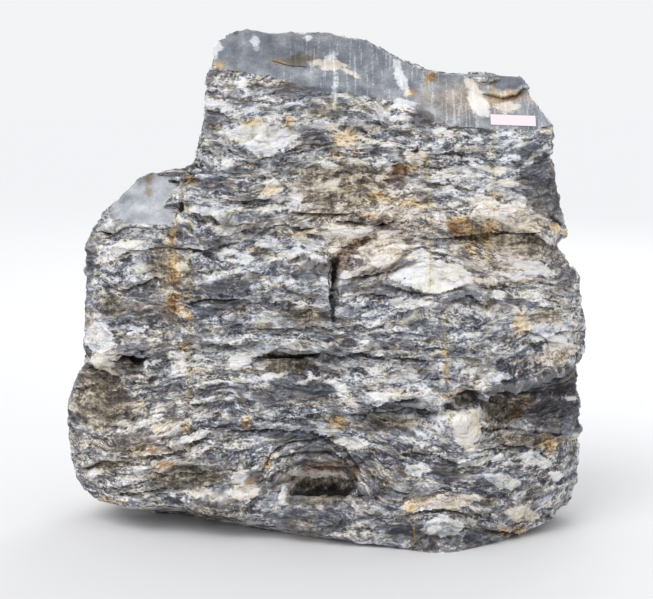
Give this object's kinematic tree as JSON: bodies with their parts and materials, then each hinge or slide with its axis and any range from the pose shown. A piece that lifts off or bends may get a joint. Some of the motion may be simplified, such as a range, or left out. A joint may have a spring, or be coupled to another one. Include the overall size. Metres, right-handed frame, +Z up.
{
  "type": "marble feature stone",
  "caption": "Upright split block of banded grey and white marble on a flat base, with a smooth slanting top facet, a lower shoulder and a blank paper label.",
  "frame": {"origin": "on the surface that the stone stands on, under the middle of its outer size", "axes": "+Z up; the broken banded front faces -Y; +X to the right as seen from the front"},
  "size_m": [1.5658, 0.6828, 1.5026],
  "materials": {
    "marble": "matte",
    "label_paper": "matte"
  },
  "bodies": {
    "root": {"stone": "marble", "label": "label_paper"}
  },
  "joints": []
}
